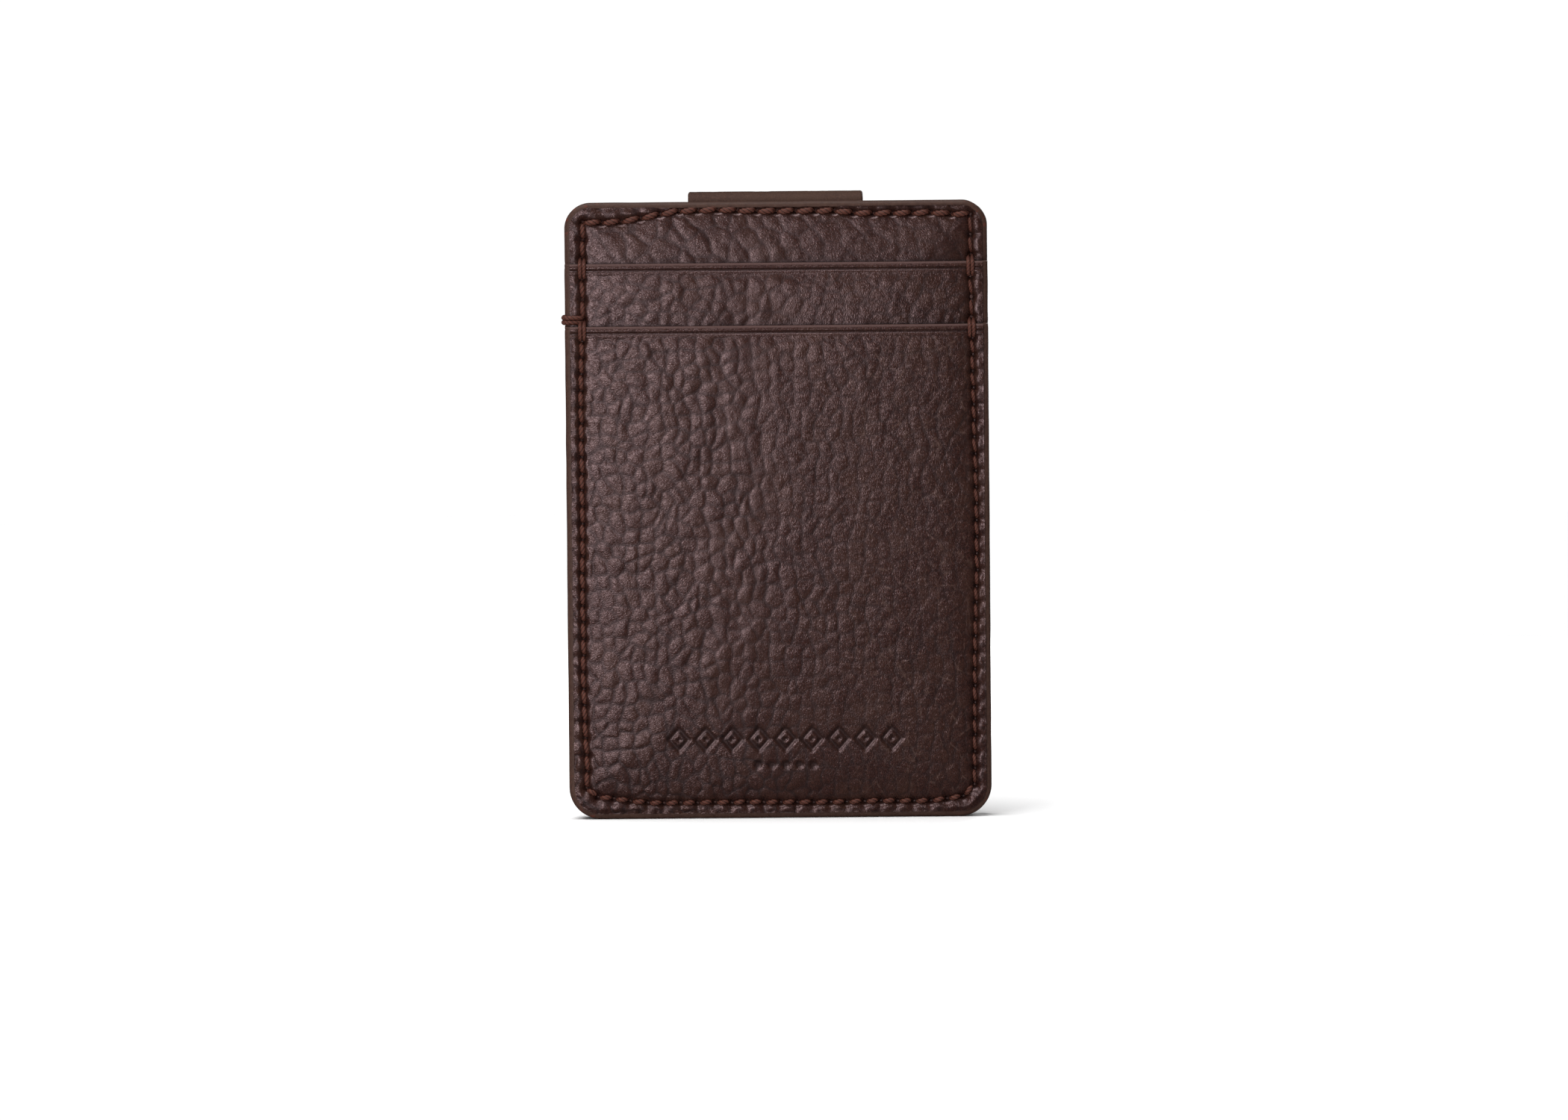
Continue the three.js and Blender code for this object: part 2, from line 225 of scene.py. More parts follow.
def seam_holes():
    """The needle holes, clockwise from the lower left, seen from the front."""
    sides = []
    for sign in (-1, 1):
        corner_x = sign * (HALF - side_inset(sign, HEIGHT))
        corner_z = HEIGHT - top_inset(corner_x)
        stops = SEAM_FOOT, LOWER_LIP - HOLE_BELOW_LIP, LOWER_LIP + HOLE_ABOVE_LIP, UPPER_LIP + HOLE_ABOVE_LIP, corner_z
        rows = [np.linspace(*row, endpoint=False) for row in zip(stops, stops[1:], STITCHES_SIDE)]
        z = np.concatenate(rows)
        row = np.column_stack((sign * (HALF - side_inset(sign, z)), z))
        sides.append(np.vstack((row, (corner_x, corner_z))))
    left, right = sides
    x = np.linspace(left[-1, 0], right[-1, 0], STITCHES_TOP + 1)[1:-1]
    top = np.column_stack((x, HEIGHT - top_inset(x)))
    x = np.linspace(SEAM_BOTTOM_HALF, -SEAM_BOTTOM_HALF, STITCHES_BOTTOM + 1)
    bottom = np.column_stack((x, bottom_inset(x)))
    holes = np.concatenate((left, top, right[::-1], bottom))
    return holes + RANDOM.normal(0, HOLE_SCATTER, holes.shape)


class Seam:
    """Straight stitches from hole to hole; a closed seam joins its last hole to its first."""

    def __init__(self, holes, closed=False):
        self.holes = holes
        self.starts = holes if closed else holes[:-1]
        self.ends = np.roll(holes, -1, axis=0) if closed else holes[1:]
        self.along = self.ends - self.starts
        self.run = np.hypot(*self.along.T)
        self.stitches = list(zip(self.starts, self.ends))

    def field(self, x, z):
        """For each point: distance from the seam, positive inside it, distance from the nearest hole, distance from
        it along the seam, and place along the seam."""
        points = np.column_stack((x.ravel(), z.ravel()))
        begins = np.concatenate(([0], np.cumsum(self.run)[:-1]))
        fields = np.empty((4, len(points)))
        for first in range(0, len(points), BATCH):
            part = points[first : first + BATCH, None, :]
            t = np.clip(((part - self.starts) * self.along).sum(2) / self.run**2, 0, 1)
            away = part - (self.starts + t[..., None] * self.along)
            distance = np.hypot(away[..., 0], away[..., 1])
            nearest = distance.argmin(1)
            rows = np.arange(len(nearest))
            along, off, run = self.along[nearest], away[rows, nearest], self.run[nearest]
            at = t[rows, nearest] * run
            gap = part - self.holes
            fields[:, first : first + BATCH] = (
                distance[rows, nearest] * np.where(along[:, 0] * off[:, 1] - along[:, 1] * off[:, 0] < 0, 1, -1),
                np.hypot(gap[..., 0], gap[..., 1]).min(1),
                np.minimum(at, run - at),
                begins[nearest] + at,
            )
        return fields.reshape(4, *x.shape)


SEAM = Seam(seam_holes(), closed=True)


# Meshes


def finish_piece(piece, body, replaced):
    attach(piece, body)
    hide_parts(replaced)


def new_object(name, data):
    piece = bpy.data.objects.new(name, data)
    bpy.context.collection.objects.link(piece)
    return piece


def make_mesh(name, points, faces, material, fields, grain_at, crease_angle=50):
    """A mesh object from points in millimetres, with its outward normals and its named fields for the shaders."""
    mesh = bpy.data.meshes.new(name)
    mesh.from_pydata((points * MM).tolist(), [], faces)
    shell = bmesh.new()
    shell.from_mesh(mesh)
    bmesh.ops.recalc_face_normals(shell, faces=shell.faces)
    shell.to_mesh(mesh)
    shell.free()
    mesh.shade_smooth()
    mesh.set_sharp_from_angle(angle=math.radians(crease_angle))
    for field, values in fields.items():
        mesh.attributes.new(field, "FLOAT", "POINT").data.foreach_set("value", np.asarray(values, np.float32))
    at = np.asarray(grain_at, np.float32).ravel()
    mesh.attributes.new("grain_at", "FLOAT_VECTOR", "POINT").data.foreach_set("vector", at)
    mesh.materials.append(material)
    return new_object(name, mesh)


def grid_faces(rows, columns, first=0, closed=False):
    """Quads between rows of points; a closed grid joins its last column to its first."""
    r, c = np.divmod(np.arange((rows - 1) * columns), columns)
    if not closed:
        r, c = r[c < columns - 1], c[c < columns - 1]
    row, after = first + r * columns, (c + 1) % columns
    return np.column_stack((row + c, row + after, row + columns + after, row + columns + c)).tolist()


def sheet_piece(name, body, replaced, shares, levels, half_at, relief, rings, place, material, turn=0.0):
    """A sheet of leather or lining. Its face is a grid of shares of the half width by levels, raised by relief, which
    also gives the shader's fields. Its side is a ring of points for each (inset, depth), and its back is flat."""
    x = shares * half_at(levels)[:, None]
    v = np.broadcast_to(levels[:, None], x.shape)
    height, fields = relief(x, v)
    index = np.arange(x.size).reshape(x.shape)
    loop = np.concatenate((index[0], index[1:, -1], index[-1, -2::-1], index[-2:0:-1, 0]))
    loop_x, loop_v = x.ravel()[loop], v.ravel()[loop]
    run_x, run_v = np.roll(loop_x, -1) - np.roll(loop_x, 1), np.roll(loop_v, -1) - np.roll(loop_v, 1)
    run = np.hypot(run_x, run_v)
    parts = [(x.ravel(), v.ravel(), -height.ravel())]
    faces = grid_faces(*x.shape)
    before = loop
    for k, (inset, depth) in enumerate(rings):
        parts.append((loop_x - inset * run_v / run, loop_v + inset * run_x / run, np.full(len(loop), float(depth))))
        after = x.size + k * len(loop) + np.arange(len(loop))
        faces += np.column_stack((before, after, np.roll(after, -1), np.roll(before, -1))).tolist()
        before = after
    faces.append(before.tolist())
    full = {}
    for field, (values, on_rim) in fields.items():
        face_values = np.broadcast_to(values, x.shape).ravel()
        full[field] = np.concatenate((face_values, np.full(len(rings) * len(loop), on_rim)))
    x, v, depth = (np.concatenate(part) for part in zip(*parts))
    along = x * math.cos(turn) + v * math.sin(turn)
    across = v * math.cos(turn) - x * math.sin(turn)
    piece = make_mesh(name, place(x, v, depth), faces, material, full, np.column_stack((along, depth, across)))
    finish_piece(piece, body, replaced)


def run_along(path):
    """How far along a path each of its points is."""
    return np.concatenate(([0], np.cumsum(np.linalg.norm(np.diff(path, axis=0), axis=1))))


def resample(path, count):
    """A smooth curve through a few points, as evenly spaced points."""
    path = np.asarray(path, float)
    padded = np.vstack((2 * path[0] - path[1], path, 2 * path[-1] - path[-2]))
    p0, p1, p2, p3 = padded[:-3], padded[1:-2], padded[2:-1], padded[3:]
    t = np.arange(8)[:, None, None] / 8
    bend = (2 * p0 - 5 * p1 + 4 * p2 - p3) * t**2 + (3 * p1 - p0 - 3 * p2 + p3) * t**3
    curve = (p1 + 0.5 * ((p2 - p0) * t + bend)).transpose(1, 0, 2).reshape(-1, 3)
    curve = np.vstack((curve, path[-1]))
    run = run_along(curve)
    return np.column_stack([np.interp(np.linspace(0, run[-1], count), run, axis) for axis in curve.T])


def threads(name, replaced, body, paths, radii, up, sides=18):
    """Twisted threads along paths, as one mesh of separate closed strands. Up is a direction across the paths."""
    points, faces, grain_at = [], [], []
    turn = np.linspace(0, 2 * math.pi, sides, endpoint=False)
    first = 0
    for path, radius in zip(paths, radii):
        along = np.gradient(path, axis=0)
        along /= np.linalg.norm(along, axis=1)[:, None]
        side = np.cross(along, up)
        side /= np.linalg.norm(side, axis=1)[:, None]
        over = np.cross(side, along)
        s = run_along(path)
        lay = turn + 2 * math.pi * s[:, None] / (TWIST * radius)
        fullness = 0.78 + 0.22 * np.sin(math.pi * s / s[-1])
        swell = radius * fullness[:, None] * (0.72 + 0.28 * np.abs(np.cos(PLIES / 2 * lay)))
        ray = np.cos(turn)[:, None] * side[:, None, :] + np.sin(turn)[:, None] * over[:, None, :]
        points.append((path[:, None, :] + swell[..., None] * ray).reshape(-1, 3))
        run = np.broadcast_to(s[:, None], lay.shape)
        grain_at.append(np.stack((run, lay, np.full(lay.shape, first)), -1).reshape(-1, 3))
        faces += grid_faces(len(path), sides, first, closed=True)
        last = first + (len(path) - 1) * sides
        faces += [list(range(first, first + sides))[::-1], list(range(last, last + sides))]
        first = last + sides
    piece = make_mesh(name, np.concatenate(points), faces, THREAD, {}, np.concatenate(grain_at), 60)
    finish_piece(piece, body, replaced)


# Materials


class Shader:
    """A material whose nodes are added one at a time."""

    def __init__(self, name):
        self.material = bpy.data.materials.new(name)
        self.material.use_nodes = True
        self.tree = self.material.node_tree
        self.tree.nodes.clear()

    def add(self, kind, inputs=None, **properties):
        node = self.tree.nodes.new(kind)
        for key, value in properties.items():
            setattr(node, key, value)
        for key, value in (inputs or {}).items():
            socket = node.inputs[key]
            if isinstance(value, bpy.types.NodeSocket):
                self.tree.links.new(value, socket)
            elif socket.type == "RGBA":
                socket.default_value = (*value, 1.0)
            else:
                socket.default_value = value
        return node

    def field(self, name, output="Fac"):
        return self.add("ShaderNodeAttribute", attribute_name=name).outputs[output]

    def object_place(self):
        """For CAD nodes, which have no fields of their own: a place in millimetres."""
        return self.scaled(self.add("ShaderNodeTexCoord").outputs["Object"], (1 / MM, 1 / MM, 1 / MM))

    def math(self, operation, a, b=0.0):
        return self.add("ShaderNodeMath", {0: a, 1: b}, operation=operation).outputs[0]

    def times(self, a, b):
        return self.math("MULTIPLY", a, b)

    def scaled(self, vector, by):
        return self.add("ShaderNodeVectorMath", {0: vector, 1: by}, operation="MULTIPLY").outputs[0]

    def mix(self, factor, a, b):
        """Two colours mixed; the node's colour sockets are its seventh and eighth."""
        return self.add("ShaderNodeMix", {0: factor, 6: a, 7: b}, data_type="RGBA").outputs[2]

    def blend(self, factor, a, b):
        """Two numbers mixed."""
        return self.add("ShaderNodeMix", {0: factor, 2: a, 3: b}, data_type="FLOAT").outputs[0]

    def noise(self, vector, scale, detail=3.0, roughness=0.6):
        inputs = {"Vector": vector, "Scale": scale, "Detail": detail, "Roughness": roughness}
        return self.add("ShaderNodeTexNoise", inputs).outputs[0]

    def cells(self, vector, scale):
        inputs = {"Vector": vector, "Scale": scale}
        return self.add("ShaderNodeTexVoronoi", inputs, feature="DISTANCE_TO_EDGE").outputs["Distance"]

    def ranged(self, value, low, high, to_low=0.0, to_high=1.0):
        inputs = {0: value, 1: low, 2: high, 3: to_low, 4: to_high}
        return self.add("ShaderNodeMapRange", inputs).outputs[0]

    def bump(self, height, distance):
        inputs = {"Height": height, "Strength": 1.0, "Distance": distance * MM}
        return self.add("ShaderNodeBump", inputs).outputs[0]

    def surface(self, tone, roughness, normal=None, specular=0.5, tint=(1.0, 1.0, 1.0), metallic=0.0):
        inputs = {"Base Color": tone, "Roughness": roughness, "Metallic": metallic}
        inputs |= {"Specular IOR Level": specular, "Specular Tint": tint}
        if normal is not None:
            inputs["Normal"] = normal
        shader = self.add("ShaderNodeBsdfPrincipled", inputs)
        output = self.add("ShaderNodeOutputMaterial")
        self.tree.links.new(shader.outputs[0], output.inputs[0])
        return self.material


PAINT_TONE = (0.042, 0.017, 0.012)
PAINT_ROUGHNESS = 0.62
# Painted highlights: thin light lines where crease edges catch the light, and how far they and the fine wrinkles
# wander
GLINT_LINE_TONE = (0.095, 0.057, 0.045)
LINE_BEND = 0.3
WRINKLE_BEND = 0.9


def leather_material(name, deep, plain, bright, bump=1.0, roughness=(0.20, 0.46), specular=0.55):
    """Pebbled leather. The mesh carries the pebbles; the shader adds fine wrinkles, pores and shifts of colour,
    painted highlights as thin light lines along crease edges, and creases darkened partly by dye and partly as painted
    shade. The fine wrinkles lie across the grain, or along it where the leather leans."""
    s = Shader(name)
    at = s.field("grain_at", "Vector")
    crease, smoothness, paint, lean, worn = (s.field(f) for f in ("crease", "plain", "paint", "lean", "worn"))
    wander = s.add("ShaderNodeTexNoise", {"Vector": at, "Scale": 1.1, "Detail": 2.0}).outputs["Color"]

    def lines(bend, angle, stretch):
        """How far each point is from the nearest of many wandering lines."""
        inputs = {0: wander, 1: (bend, bend, bend), 2: at}
        bent = s.add("ShaderNodeVectorMath", inputs, operation="MULTIPLY_ADD").outputs[0]
        turned = s.add("ShaderNodeVectorRotate", {"Vector": bent, "Angle": angle}, rotation_type="Y_AXIS").outputs[0]
        return s.cells(s.scaled(turned, stretch), 1.0)

    across = lines(WRINKLE_BEND, 0.0, (2.0, 0.0, 4.2))
    upright = lines(WRINKLE_BEND, 0.25, (4.0, 0.0, 1.5))
    wrinkle = s.ranged(s.blend(lean, across, upright), 0.0, 0.28)
    fine = s.noise(at, 5.5, 4.0, 0.65)
    height = s.math("ADD", s.times(wrinkle, 0.6), s.times(fine, 0.55))
    height = s.times(height, s.ranged(smoothness, 0.0, 1.0, 1.0, 0.16))

    patch = s.noise(at, 0.16, 3.0, 0.6)
    raised = s.times(wrinkle, s.ranged(fine, 0.3, 0.6, 0.5, 1.2))
    tone = s.mix(s.ranged(raised, 0.0, 0.8), deep, plain)
    tone = s.mix(s.ranged(patch, 0.42, 0.66, 0.0, 0.5), tone, bright)
    # Painted highlights: thin light lines where the edges of creases catch the light
    long_lines = lines(LINE_BEND, 0.0, (0.55, 0.0, 0.16))
    slanted_lines = lines(LINE_BEND, -0.55, (0.34, 0.0, 0.10))
    line = s.math("MINIMUM", long_lines, s.times(slanted_lines, 1.5))
    broken = s.ranged(s.noise(at, 0.9, 3.0, 0.7), 0.42, 0.62)
    line = s.times(s.ranged(line, 0.0, 0.032, 1.0, 0.0), broken)
    tone = s.mix(s.times(s.times(line, worn), 0.6), tone, GLINT_LINE_TONE)
    # Creases, seams, needle holes and the gap above a pocket's mouth are darkened: partly dye, partly painted shade
    tone = s.mix(s.times(crease, 0.9), tone, tuple(0.4 * part for part in deep))
    dull = s.math("ADD", fine, s.times(crease, 0.3))
    tone = s.mix(paint, tone, PAINT_TONE)
    rough = s.blend(paint, s.ranged(dull, 0.25, 0.9, *roughness), PAINT_ROUGHNESS)
    return s.surface(tone, rough, s.bump(height, 0.025 * bump), specular, tint=(1.0, 0.71, 0.73))


def paint_material():
    """Smooth edge paint, with faint brush ridges and dust."""
    s = Shader("edge_paint")
    at = s.field("grain_at", "Vector")
    ripple = s.noise(s.scaled(at, (1.0, 3.0, 1.0)), 1.3)
    dust = s.noise(at, 9.0)
    tone = s.mix(s.ranged(ripple, 0.3, 0.7), (0.041, 0.0172, 0.0120), (0.061, 0.0285, 0.0195))
    rub = s.ranged(s.noise(at, 0.8, 4.0, 0.7), 0.56, 0.64)
    tone = s.mix(s.times(rub, s.field("rubbed")), tone, (0.095, 0.024, 0.015))
    height = s.math("ADD", ripple, s.times(dust, 0.12))
    return s.surface(tone, s.ranged(dust, 0.3, 0.7, 0.52, 0.68), s.bump(height, 0.03), specular=0.22)


def thread_material():
    """Waxed polyester thread: fibres run along each ply, and the grooves between the plies are darkened as painted
    shade.
    """
    s = Shader("thread")
    at = s.field("grain_at", "Vector")
    fibre = s.noise(s.scaled(at, (0.8, 6.0, 1.0)), 2.0)
    lay = s.add("ShaderNodeSeparateXYZ", {0: at}).outputs[1]
    ridge = s.math("ABSOLUTE", s.math("COSINE", s.times(lay, PLIES / 2)))
    tone = s.mix(s.ranged(fibre, 0.3, 0.7), (0.057, 0.0175, 0.0118), (0.132, 0.0450, 0.0310))
    # Painted shade in the grooves between the plies
    tone = s.mix(s.ranged(ridge, 0.1, 0.6, 0.85, 0.0), tone, (0.018, 0.006, 0.004))
    return s.surface(tone, 0.55, s.bump(fibre, 0.05), specular=0.2)


def cloth_material(name, on_cad_node=False):
    """Fine twill cloth, dark brown."""
    s = Shader(name)
    at = s.object_place() if on_cad_node else s.field("grain_at", "Vector")
    parts = s.add("ShaderNodeSeparateXYZ", {0: at}).outputs
    ribs = s.math("SINE", s.times(s.math("ADD", parts[0], parts[2]), 14.0))
    cross = s.math("SINE", s.times(parts[0], 26.0))
    weave = s.math("ADD", s.times(ribs, 0.5), s.times(cross, 0.35))
    tone = s.mix(s.ranged(s.noise(at, 1.2), 0.3, 0.7), (0.016, 0.010, 0.008), (0.034, 0.022, 0.017))
    tone = s.mix(s.ranged(weave, -0.6, 0.6, 0.5, 0.0), tone, (0.008, 0.005, 0.004))
    return s.surface(tone, 0.85, s.bump(weave, 0.02), specular=0.25)


def hidden_material(name, stretch, scale, detail, dark, light, gloss, bump, spread=(0.3, 0.7), metallic=0.0):
    """The looks of a CAD node inside the wallet: one stretched noise for its colour, gloss and relief."""
    s = Shader(name)
    streaks = s.noise(s.scaled(s.object_place(), stretch), scale, *detail)
    tone = s.mix(s.ranged(streaks, *spread), dark, light)
    return s.surface(tone, s.ranged(streaks, 0.3, 0.7, *gloss), s.bump(streaks, bump), metallic=metallic)


LEATHER = leather_material(
    "wallet_leather",
    deep=(0.014, 0.0045, 0.0032),
    plain=(0.034, 0.0112, 0.0076),
    bright=(0.036, 0.0150, 0.0090),
)
STRAP_LEATHER = leather_material(
    "strap_leather",
    deep=(0.024, 0.0105, 0.0060),
    plain=(0.054, 0.0250, 0.0148),
    bright=(0.050, 0.0265, 0.0150),
    bump=0.6,
    roughness=(0.6, 0.8),
    specular=0.25,
)
EDGE_PAINT = paint_material()
THREAD = thread_material()
LINING = cloth_material("lining")


# The wallet's leather panels

# Grain: the turn of its cells, their width and length, a noise layer, its strength, and how much cross creases show
GRAINS = {
    "front_panel": (0.6, 3.0, 3.8, 0, 1.05, 0.75),
    "upper_pocket_panel": (-0.4, 2.4, 2.5, 1, 1.0, 1.0),
    "lower_pocket_panel": (0.05, 2.3, 2.6, 2, 1.05, 1.0),
    "back_panel": (0.1, 2.8, 3.6, 3, 0.9, 0.7),
    "strap": (0.2, 1.9, 2.4, 2, 0.35, 0.8),
}
# How deep a crease is, how far its slope reaches, and how wide its dark line is, which is part dye and part painted
# shade
CREASE_DEPTH, CREASE_REACH, CREASE_LINE = 0.16, 0.75, 0.33

# How far in from the seam a panel swells, and how deep the leather sinks along the seam, at a hole, and at most
SWELL_REACH, SEAM_SINK, HOLE_SINK, DEEPEST = 30, 0.32, 0.75, 0.95

# Each panel's own mouth, and the mouth of the pocket in front of it
LIPS = {"upper_pocket_panel": UPPER_LIP, "lower_pocket_panel": LOWER_LIP}
NEXT_LIPS = {"front_panel": UPPER_LIP, "upper_pocket_panel": LOWER_LIP}
# A mouth's finish: height, distance below the mouth, and width
LIP_ROUNDING = 0.35
RIM, MOUTH_LINE, RIDGE = (0.12, 0.68, 0.26), (-0.11, 1.16, 0.20), (0.05, 1.62, 0.18)

ORNAMENT_X, ORNAMENT_Z, ORNAMENT_DEPTH = 0.9, 13.2, 0.21
LOZENGE_PITCH, LOZENGE_HALF = 4.4, (2.0, 2.3)
DOT_PITCH, DOT_DROP = 2.3, 4.3


def seam_relief(x, z, pillow=1.1):
    """Height from the seam alone: the panel swells inside it, the border is puffed and pinched outside it, and the
    leather is sunk along it, most of all at the needle holes."""
    inside, hole, beside, along = SEAM.field(x, z)
    depth = outline_depth(x, z) - LEATHER_INSET
    outside = np.maximum(-inside, 0)
    pinch = peak(beside, 0.55)
    near = 1 - np.exp(-np.maximum(inside, 0) / 2.5)
    wide = 1 - (1 - np.clip(inside, 0, SWELL_REACH) / SWELL_REACH) ** 2
    border = (0.15 + 0.20 * smooth(-20, 10, x)) * smooth(0.0, 1.9, outside - 0.25 * pinch)
    crossing = -0.10 * pinch * smooth(0.3, 0.8, outside) * (1 - smooth(0.9, 1.8, outside))
    folds = 0.045 * noise(along, 0.35 * outside, 0.5, 6) * smooth(0.2, 0.6, outside)
    edge = -0.20 * (1 - smooth(0.0, 1.0, depth))
    width = np.where(inside > 0, 0.38, 0.46) + 0.22 * pinch
    sunk = -SEAM_SINK * peak(inside, width) - HOLE_SINK * peak(hole, 0.52)
    height = pillow * (0.4 * near + 0.6 * wide) + border + crossing + folds + edge
    return height + np.maximum(sunk, -DEEPEST), inside, hole


def grain(x, z, inside, turn, width, length, layer, strength, round_share):
    """The pebbled grain: rounded cells between creases. The round share is how much the creases that run across the
    grain show; where it is low, the cells join into long folds."""
    away, upright = pebbles(x, z, turn, width, length, layer)
    fade = 0.35 + 0.65 * smooth(0.0, 2.0, np.abs(inside))
    patch = 0.8 + 0.2 * noise(x, z, 7.0, layer + 2)
    show = (round_share + (1 - round_share) * smooth(0.25, 0.75, upright)) * patch
    soft = 0.075 * noise(x, z, 2.4, layer + 3) + 0.025 * noise(x, z, 0.9, layer)
    height = fade * strength * (soft - CREASE_DEPTH * show * np.exp(-away / CREASE_REACH))
    # The dark line along each crease is part dye and part painted shade
    crease = np.clip(show * (0.5 + 0.8 * strength), 0, 1) * peak(away, CREASE_LINE) * fade
    return height, crease


def lip_relief(below):
    """The finish of a pocket's mouth: a rounded painted edge, and a line creased into the leather between ridges."""
    lines = sum(height * peak(below - at, width) for height, at, width in (RIM, MOUTH_LINE, RIDGE))
    return lines - corner_drop(LIP_ROUNDING - below, LIP_ROUNDING)


def ornament(x, z):
    """How deep the debossed ornament is, from 0 to 1: a row of lozenges with a short row of dots below it."""
    across, up = x - ORNAMENT_X, z - ORNAMENT_Z
    column = across - LOZENGE_PITCH * np.clip(np.round(across / LOZENGE_PITCH), -4, 4)
    size = np.abs(column) / LOZENGE_HALF[0] + np.abs(up) / LOZENGE_HALF[1]
    ring = smooth(0.44, 0.70, size) * (1 - smooth(0.86, 1.12, size))
    core = 1 - smooth(0.08, 0.32, size)
    dot = across - DOT_PITCH * np.clip(np.round(across / DOT_PITCH), -2, 2)
    dots = 1 - smooth(0.50, 0.80, np.hypot(dot, up + DOT_DROP))
    return np.maximum(np.maximum(ring, core), dots)


def shader_fields(crease, plain, paint, lean, worn, rim_crease=0.2):
    """The fields that a leather shader reads, each with its value on the side of the sheet."""
    return {
        "crease": (crease, rim_crease),
        "plain": (plain, 1.0),
        "paint": (paint, 1.0),
        "lean": (lean, 0.5),
        "worn": (worn, 0.0),
    }


def front_relief(name):
    """What covers one of the front panels: height, and the fields for its shader. It has a dark line of painted shadow
    just above the mouth of the next pocket."""
    *cell, strength, round_share = GRAINS[name]
    lip, next_lip = LIPS.get(name), NEXT_LIPS.get(name)

    def relief(x, z):
        height, inside, hole = seam_relief(x, z)
        wander = 5 * noise(x, z, 9.0, 5)
        rightward = smooth(-14, 4, x + wander)
        # Towards the right the grain is flatter, and the painted highlight lines show there
        worn = 0.35 * smooth(10, 28, x + wander) if next_lip else smooth(0, 22, x + wander)
        force = strength * (1 - 0.35 * rightward) * (1 - 0.3 * worn)
        bumps, crease = grain(x, z, inside, *cell, force, round_share * (1 - 0.3 * rightward))
        plain = 0.35 * peak(inside, 0.6)
        paint = 0.0
        if lip:
            below = lip - z
            settle = smooth(1.3, 2.4, below)
            height = height * (0.55 + 0.45 * smooth(0.0, 4.0, below)) + lip_relief(below)
            bumps, crease = bumps * settle, crease * settle
            plain = np.maximum(plain, 0.85 * (1 - smooth(0.25, 0.50, below)))
            crease = np.maximum(crease, 0.5 * peak(below - MOUTH_LINE[1], MOUTH_LINE[2]))
            paint = 1 - smooth(0.22, 0.42, below)
        if next_lip:
            # Painted shadow: a dark line just above the next pocket's mouth, in the gap behind it
            crease = np.maximum(crease, 1 - smooth(0.15, 0.45, z - next_lip))
        else:
            pressed = ornament(x, z)
            height = height - ORNAMENT_DEPTH * pressed
            beside = (1 - smooth(4.5, 7.5, np.abs(z - 11.2))) * (1 - smooth(20, 24, np.abs(x - ORNAMENT_X)))
            bumps = bumps * (1 - 0.7 * pressed) * (1 - 0.5 * beside)
            plain = np.maximum(plain, 0.6 * pressed)
            crease = np.maximum(crease, 0.65 * pressed)
        # Painted shade along the sunk seam and in the needle holes
        crease = np.maximum(crease, np.maximum(0.85 * peak(hole, 0.55), 0.6 * peak(inside, 0.38)))
        return height + bumps, shader_fields(crease, plain, paint, rightward, worn * smooth(0, 2, inside))

    return relief


def shares_of(half, middle):
    """Shares of the half width, finer near the seams at both sides."""
    return mirrored(graded(0.0, half, middle, (half - 4.0, half, 0.16))) / half


def facing(y, outward, rise=0.0):
    """Puts points of a sheet, given as x, height and depth, under a face at y that looks this way along y."""
    return lambda x, v, depth: np.column_stack((x, y - outward * depth, rise + v))


def wallet_panel(name, levels, fine_x, lip, relief, place, turn):
    """A panel of the wallet, with a step between columns of fine_x, and its back edge eased by 0.2."""
    thickness = THICKNESS_OF[name]
    sheet_piece(
        name + "_hide", "wallet_body", name,
        shares_of(HALF - LEATHER_INSET, fine_x),
        levels,
        lambda z: half_width(z, lip),
        relief,
        [(0.0, 0.55), (0.0, thickness - 0.2), (0.2, thickness)],
        place,
        LEATHER,
        turn,
    )


def front_panels():
    """The top band and the two pockets, each a real sheet from its mouth down to the bottom edge. They are coarse
    where the next pocket hides them."""
    low = LEATHER_INSET
    for name in FRONT_PANELS:
        lip, next_lip = LIPS.get(name), NEXT_LIPS.get(name)
        top = lip or HEIGHT - low
        spans = [(top - 2.2, top, 0.09)] if lip else [(top - 5, top - 0.3, 0.16), (top - 0.3, top, 0.05)]
        if next_lip:
            spans += [(low, low + 0.3, 0.1), (low + 0.3, next_lip - 2, 1.2)]
        else:
            spans += [(low, low + 0.3, 0.05), (low + 0.3, 5.0, 0.2), (8.2, 15.4, 0.2)]
        levels = graded(low, top, 0.33, *spans)
        fine_x = 0.34 if next_lip else 0.25
        wallet_panel(name, levels, fine_x, lip, front_relief(name), facing(FRONT_OF[name], -1), GRAINS[name][0])


def back_panel():
    low, top = LEATHER_INSET, HEIGHT - LEATHER_INSET
    spans = [(low, low + 0.3, 0.05), (low + 0.3, 5, 0.2), (top - 5, top - 0.3, 0.2), (top - 0.3, top, 0.05)]
    strap_low, strap_high = corners("anchor_leather")

    def relief(x, z):
        """Flat under the strap, with no swelling."""
        height, inside, hole = seam_relief(x, z, pillow=0.0)
        bumps, crease = grain(x, z, inside, *GRAINS["back_panel"])
        over = np.minimum(strap_high[0] + 1.5 - np.abs(x), z - strap_low[2] + 1.5)
        pressed = smooth(0, 1.5, over)
        height = height * (1 - pressed * (height > 0)) + (bumps - 0.05) * (1 - pressed)
        # Painted shade in the needle holes
        crease = np.maximum(crease, peak(hole, 0.36))
        lean = 0.5 + 0.4 * noise(x, z, 8.0, 6)
        return np.minimum(height, 0.3 - 0.3 * pressed), shader_fields(crease, 0.0, 0.0, lean, 0.3)

    wallet_panel("back_panel", graded(low, top, 0.36, *spans), 0.36, None, relief, facing(BACK, 1), 0.0)


# The painted edge

# Where its rounding starts behind each face and how far it reaches, and how deep the joints between layers are
FRONT_START, FRONT_ROUNDING = 0.16, 0.80
BACK_START, BACK_ROUNDING = 0.14, 0.61
JOINT_DEPTHS = (1.01, 1.91, 2.84, 3.88, 4.70, 5.75)
EDGE_BEND = np.linspace(0, math.pi / 2, 9)


